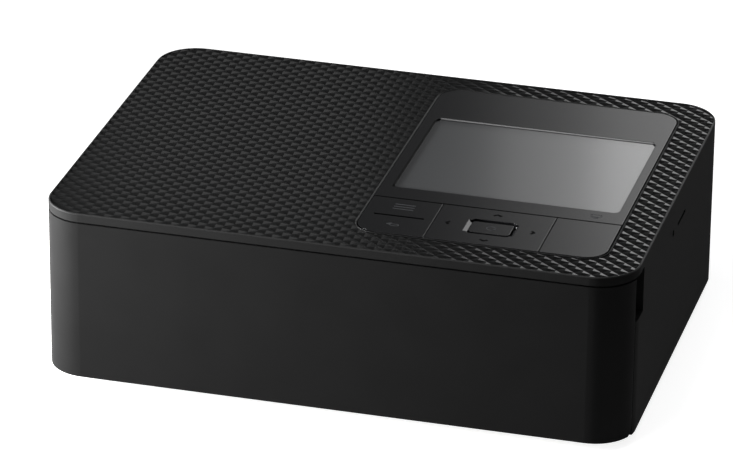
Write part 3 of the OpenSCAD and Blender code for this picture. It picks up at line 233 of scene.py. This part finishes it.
def panel_plastic():
    """Grey paint with a satin gloss. In the groove of the left key, in the seam behind the keys and along the left edge
    of the window, the colour is painted near-black and matt: painted shade where these gaps and recesses fall in
    shadow."""
    # Painted shade: the second, near-black colour and its low gloss darken the groove, the seam and the window's left
    # edge.
    paint, painted_shade_black = "#111112", "#050505"
    paint_gloss, painted_shade_gloss = 0.17, 0.01
    made = moulded("grey_painted_abs", paint, 0.18, 0.35, 0.0006,
                   specular=paint_gloss, edge_mm=0.3, drift=0.03)
    tree, shader, where = parts_of(made)
    key = [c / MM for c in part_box("menu_key")[1]]
    seam = between(tree, where, "Y", key[1] - 0.2, key[1] + 0.5, 0.1)
    groove = add(tree, "Math", links={0: between(tree, where, "Y", *MENU_GROOVE_Y, 0.1),
                                      1: between(tree, where, "X", *MENU_GROOVE_X, 0.1)}, operation="MULTIPLY")
    low, high = (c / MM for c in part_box("display_window"))
    edge = add(tree, "Math", links={0: between(tree, where, "X", low[0] - 0.45, low[0] + 0.5, 0.15),
                                    1: between(tree, where, "Y", low[1], high[1] - 1.6, 0.2)}, operation="MULTIPLY")
    # Painted shade mask: the groove, the seam and the window's left edge together.
    gap_shade = add(tree, "Math", links={0: seam, 1: groove.outputs[0]}, operation="MAXIMUM")
    painted_shade = add(tree, "Math", links={0: gap_shade.outputs[0], 1: edge.outputs[0]}, operation="MAXIMUM")
    gloss = add(tree, "MapRange", {"To Min": paint_gloss, "To Max": painted_shade_gloss}, {"Value": painted_shade.outputs[0]})
    tint = add(tree, "MixRGB", {"Color1": linear(paint), "Color2": linear(painted_shade_black)}, {"Fac": painted_shade.outputs[0]})
    tree.links.new(gloss.outputs[0], shader.inputs["Specular IOR Level"])
    tree.links.new(tint.outputs[0], shader.inputs["Base Color"])
    return made


def display_acrylic():
    """Smoked acrylic over a liquid-crystal cell: a paler grey field with a dark edge that shades off on three sides.
    The dark edge is partly a printed border and partly painted shade from the walls of the window's recess.
    """
    field_grey, dark_edge_print_and_shade = "#353637", "#18181a"
    made = moulded("smoked_acrylic_over_display", field_grey, 0.2, 0.5, 0.0002,
                   coat=0.62, edge_mm=0.05, drift=0.02)
    tree, shader, where = parts_of(made)
    low, high = (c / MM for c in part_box("display_window"))
    # Painted shade: the soft fall-off from the paler field into the dark edge stands for shade from the recess walls.
    side = between(tree, where, "X", low[0] + 1.2, high[0] - 0.9, 1.2)
    back = between(tree, where, "Y", low[1], high[1] - 2.5, 2.5)
    field = add(tree, "Math", links={0: side, 1: back}, operation="MULTIPLY")
    tint = add(tree, "MixRGB", {"Color1": linear(dark_edge_print_and_shade), "Color2": linear(field_grey)},
               {"Fac": field.outputs[0]})
    tree.links.new(tint.outputs[0], shader.inputs["Base Color"])
    return made


def metal(name, colour, roughness, line_mm, stretch, depth, edge_mm=0.1):
    """Metal with the fine lines of its making, drawn out along one axis."""
    made, tree, out = material(name)
    where = add(tree, "TexCoord").outputs["Object"]
    along = add(tree, "Mapping", {"Scale": stretch}, {"Vector": where})
    lines = add(tree, "TexNoise", {"Scale": grain(line_mm), "Detail": 4}, {"Vector": along.outputs[0]})
    cloud = add(tree, "TexNoise", {"Scale": grain(6), "Detail": 3}, {"Vector": where})
    tint = add(tree, "MixRGB", {"Color1": [c * 0.82 for c in linear(colour)[:3]] + [1],
                                "Color2": linear(colour)}, {"Fac": cloud.outputs["Fac"]})
    rough = add(tree, "MapRange", {"To Min": roughness - 0.08, "To Max": roughness + 0.1},
                {"Value": lines.outputs["Fac"]})
    round_edge = add(tree, "Bevel", {"Radius": edge_mm * MM}, samples=4)
    bump = add(tree, "Bump", {"Strength": 1.0, "Distance": depth * MM},
               {"Height": lines.outputs["Fac"], "Normal": round_edge.outputs["Normal"]})
    shader = add(tree, "BsdfPrincipled", {"Metallic": 1.0},
                 {"Base Color": tint.outputs["Color"], "Roughness": rough.outputs["Result"],
                  "Normal": bump.outputs["Normal"]})
    tree.links.new(shader.outputs[0], out.inputs["Surface"])
    return made


look_camera()
white_table()
studio_light()

finishes = {
    "casing": casing_plastic(),
    "door_plastic": moulded("black_abs_polished", "#161616", 0.42, 0.5, 0.001, specular=0.006),
    "panel_plastic": panel_plastic(),
    "display": display_acrylic(),
    "inner_plastic": moulded("black_polypropylene_moulded", "#151618", 0.5, 0.4, 0.01, specular=0.2),
    "gear_plastic": moulded("natural_acetal", "#e2ddd0", 0.35, 0.3, 0.003),
    "rubber": moulded("black_rubber", "#151515", 0.8, 0.3, 0.02),
    "mat_rubber": moulded("grey_silicone", "#8a8c8e", 0.6, 0.3, 0.01),
    "board": moulded("green_solder_mask", "#0c4a2a", 0.3, 1.2, 0.02),
    "heater": moulded("glazed_alumina", "#d8d0c0", 0.12, 0.4, 0.002),
    "film": moulded("dye_film", "#3a1420", 0.18, 0.8, 0.004),
    "steel_sheet": metal("zinc_plated_sheet", "#b9bcc0", 0.38, 0.6, (1, 1, 1), 0.004),
    "steel": metal("ground_steel", "#c4c5c8", 0.22, 0.12, (0.05, 1, 1), 0.002),
    "aluminium": metal("extruded_aluminium", "#c9ccd0", 0.3, 0.15, (0.04, 1, 1), 0.003),
    "brass": metal("turned_brass", "#d6b25e", 0.25, 0.12, (1, 1, 1), 0.002),
    "socket_metal": metal("tinned_shell", "#b4b6b8", 0.32, 0.3, (1, 1, 1), 0.003),
}
slot_of = {part["node"]: part["material_slot"] for part in frame["record"]["subparts"]}
for name, part in nodes.items():
    if not part.data.materials:
        part.data.materials.append(None)
    for place in part.material_slots:
        place.material = finishes[slot_of[name]]


# ---------------------------------------------------------------- lid relief

def new_piece(name, points, faces, body, slot):
    """A mesh piece in millimetre points that rides on a body."""
    mesh = bpy.data.meshes.new(name)
    mesh.from_pydata([[c * MM for c in p] for p in points], [], faces)
    mesh.update()
    piece = bpy.data.objects.new(name, mesh)
    bpy.context.scene.collection.objects.link(piece)
    piece.data.materials.append(finishes[slot])
    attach(piece, body)
    return piece


def rounded_outline(x0, y0, x1, y1, radius, steps=16):
    """Points round a rectangle with rounded corners, anticlockwise."""
    points = []
    for cx, cy, start in ((x1 - radius, y1 - radius, 0), (x0 + radius, y1 - radius, 90),
                          (x0 + radius, y0 + radius, 180), (x1 - radius, y0 + radius, 270)):
        for k in range(steps + 1):
            a = math.radians(start + 90 * k / steps)
            points.append((cx + radius * math.cos(a), cy + radius * math.sin(a)))
    return points


def prism(outline, z0, z1):
    """Points and faces of a flat-ended prism."""
    n = len(outline)
    points = [(x, y, z) for z in (z0, z1) for x, y in outline]
    sides = [(k, (k + 1) % n, n + (k + 1) % n, n + k) for k in range(n)]
    return points, [tuple(range(n - 1, -1, -1)), tuple(range(n, 2 * n))] + sides


def cut_with(piece, points, faces, operation):
    """Cuts a piece with a prism and keeps the result in its mesh."""
    mesh = bpy.data.meshes.new("cutter")
    mesh.from_pydata([[c * MM for c in p] for p in points], [], faces)
    cutter = bpy.data.objects.new("cutter", mesh)
    bpy.context.scene.collection.objects.link(cutter)
    step = piece.modifiers.new("cut", "BOOLEAN")
    step.operation = operation
    step.solver = "MANIFOLD"
    step.object = cutter
    bpy.context.view_layer.update()
    done = bpy.data.meshes.new_from_object(piece.evaluated_get(bpy.context.evaluated_depsgraph_get()))
    piece.modifiers.clear()
    piece.data = done
    bpy.data.objects.remove(cutter)


def lid_relief():
    """The lid's field of low four-sided pyramids, staggered like diamonds, 5.22 mm apart across and 4.27 mm deep.
    Each cell of the grid is split along the valley that runs through it, so the valleys stay sharp."""
    half_x, half_y = 2.61, 2.133
    low, floor, high = 57.2, RIM_LOW, LID_TOP
    fine = 3     # steps of the grid in a half pyramid
    lid_x, lid_y, lid_r = 90.6, 66.0, 12.3
    xs = np.arange(-36 * fine, 36 * fine + 1) * half_x / fine
    ys = np.arange(-32 * fine, 32 * fine + 1) * half_y / fine
    grid_x, grid_y = np.meshgrid(xs, ys)
    a = (grid_x / half_x + grid_y / half_y + 1) / 2
    b = (grid_x / half_x - grid_y / half_y + 1) / 2
    a, b = abs(a - np.round(a)) * 2, abs(b - np.round(b)) * 2
    slope = (a ** 16 + b ** 16) ** (1 / 16)
    tip = 0.06     # how blunt the pyramids are
    shape = 1 - np.sqrt(slope ** 2 + tip ** 2)
    shape = (shape - shape.min()) / (shape.max() - shape.min())
    top = floor + (high - floor) * shape
    rows, cols = grid_x.shape
    count = rows * cols
    points = [(x, y, z) for x, y, z in zip(grid_x.ravel(), grid_y.ravel(), top.ravel())]
    points += [(x, y, low) for x, y in zip(grid_x.ravel(), grid_y.ravel())]
    faces = []
    for r in range(rows - 1):
        for c in range(cols - 1):
            k = r * cols + c
            if (r // fine + c // fine) % 2:
                faces += [(k, k + 1, k + cols), (k + 1, k + cols + 1, k + cols)]
            else:
                faces += [(k, k + 1, k + cols + 1), (k, k + cols + 1, k + cols)]
            faces.append((count + k, count + k + cols, count + k + cols + 1, count + k + 1))
    for c in range(cols - 1):
        faces.append((c, count + c, count + c + 1, c + 1))
        k = (rows - 1) * cols + c
        faces.append((k, k + 1, count + k + 1, count + k))
    for r in range(rows - 1):
        k = r * cols
        faces.append((k, k + cols, count + k + cols, count + k))
        k += cols - 1
        faces.append((k, count + k, count + k + cols, k + cols))
    piece = new_piece("lid_relief", points, faces, "body", "casing")
    piece.data.materials[0] = moulded("black_abs_relief", "#0e0e0e", 0.13, 0.3, 0.001, edge_mm=0.02, specular=0.11)
    cut_with(piece, *prism(rounded_outline(-lid_x, -lid_y, lid_x, lid_y, lid_r), low - 1, high + 1), "INTERSECT")
    cut_with(piece, *prism(rounded_outline(*PANEL, PANEL_R), low - 2, high + 2), "DIFFERENCE")
    piece.data.polygons.foreach_set("use_smooth", [True] * len(piece.data.polygons))
    piece.data.set_sharp_from_angle(angle=math.radians(8))


lid_relief()


# ---------------------------------------------------------------- printed symbols

def silk_print(name, colour, specular):
    """Screen-printed ink: matt, slightly uneven, a little proud of the plastic."""
    return moulded(name, colour, 0.5, 0.25, 0.002, edge_mm=0.02, specular=specular)


def arrow_head(x, y, reach, spread, line, turn):
    """A chevron whose tip points along turn (degrees from +X), as an outline."""
    tip = [(reach, 0), (-reach, spread), (-reach - line, spread - line), (reach - 1.6 * line, 0),
           (-reach - line, line - spread), (-reach, -spread)]
    c, s = math.cos(math.radians(turn)), math.sin(math.radians(turn))
    return [(x + c * u - s * v, y + s * u + c * v) for u, v in tip]


def bar(x0, y0, x1, y1):
    """A rectangle as an outline."""
    return [(x0, y0), (x1, y0), (x1, y1), (x0, y1)]


def arc_band(x, y, outer, inner, start, end, steps=24):
    """Part of a ring as an outline."""
    turns = [math.radians(start + (end - start) * k / steps) for k in range(steps + 1)]
    return [(x + outer * math.cos(t), y + outer * math.sin(t)) for t in turns] + [
        (x + inner * math.cos(t), y + inner * math.sin(t)) for t in reversed(turns)]


def printed_symbol(name, outlines, top_mm, body, ink):
    """Flat printed shapes on a surface that lies top_mm high. The ink stands a little proud of it."""
    sunk, proud = 0.02, 0.015
    points, faces = [], []
    for outline in outlines:
        more, sides = prism(outline, top_mm - sunk, top_mm + proud)
        faces += [tuple(k + len(points) for k in f) for f in sides]
        points += more
    piece = new_piece(name, points, faces, body, "panel_plastic")
    piece.data.materials[0] = ink


def panel_symbols():
    """The symbols of the keys: three bars, a return arrow, four chevrons, a ring and a small sheet."""
    pale, dark = silk_print("pale_key_ink", "#2d2e30", 0.1), silk_print("dark_key_ink", "#030303", 0.01)
    pad_x, pad_y = 42.6, -41.3
    printed_symbol("menu_symbol", [bar(11.0, row, 17.4, row + 0.55) for row in (-36.3, -34.7, -33.1)],
                   LID_TOP, "menu_key", pale)
    printed_symbol("return_symbol", [
        [(11.9, -46.9), (13.4, -45.9), (13.4, -46.7), (15.2, -46.7), (15.2, -47.1), (13.4, -47.1), (13.4, -47.9)],
        arc_band(15.2, -47.5, 0.8, 0.4, -90, 90), bar(13.7, -48.3, 15.2, -47.9),
    ], LID_TOP, "menu_key", pale)
    printed_symbol("way_symbols", [
        arrow_head(pad_x, -32.0, 0.5, 1.5, 0.6, 90), arrow_head(pad_x, -50.9, 0.5, 1.5, 0.6, 270),
        arrow_head(29.0, pad_y, 0.55, 1.3, 0.6, 180), arrow_head(55.8, pad_y, 0.55, 1.3, 0.6, 0),
    ], LID_TOP, "nav_pad", dark)
    key_low, key_high = (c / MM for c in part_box("ok_key"))
    mid_x, mid_y = (key_low[0] + key_high[0]) / 2, (key_low[1] + key_high[1]) / 2
    printed_symbol("select_symbol", [arc_band(mid_x, mid_y, 1.5, 1.1, start, start + 180) for start in (0, 180)],
                   key_high[2], "ok_key", pale)
    printed_symbol("sheet_symbol", [
        bar(69.2, -25.2, 72.6, -24.9), bar(69.2, -23.7, 72.6, -23.4), bar(69.2, -24.9, 69.5, -23.7),
        bar(72.3, -24.9, 72.6, -23.7), bar(70.1, -26.1, 71.7, -25.2),
    ], LID_TOP, "body", pale)


panel_symbols()
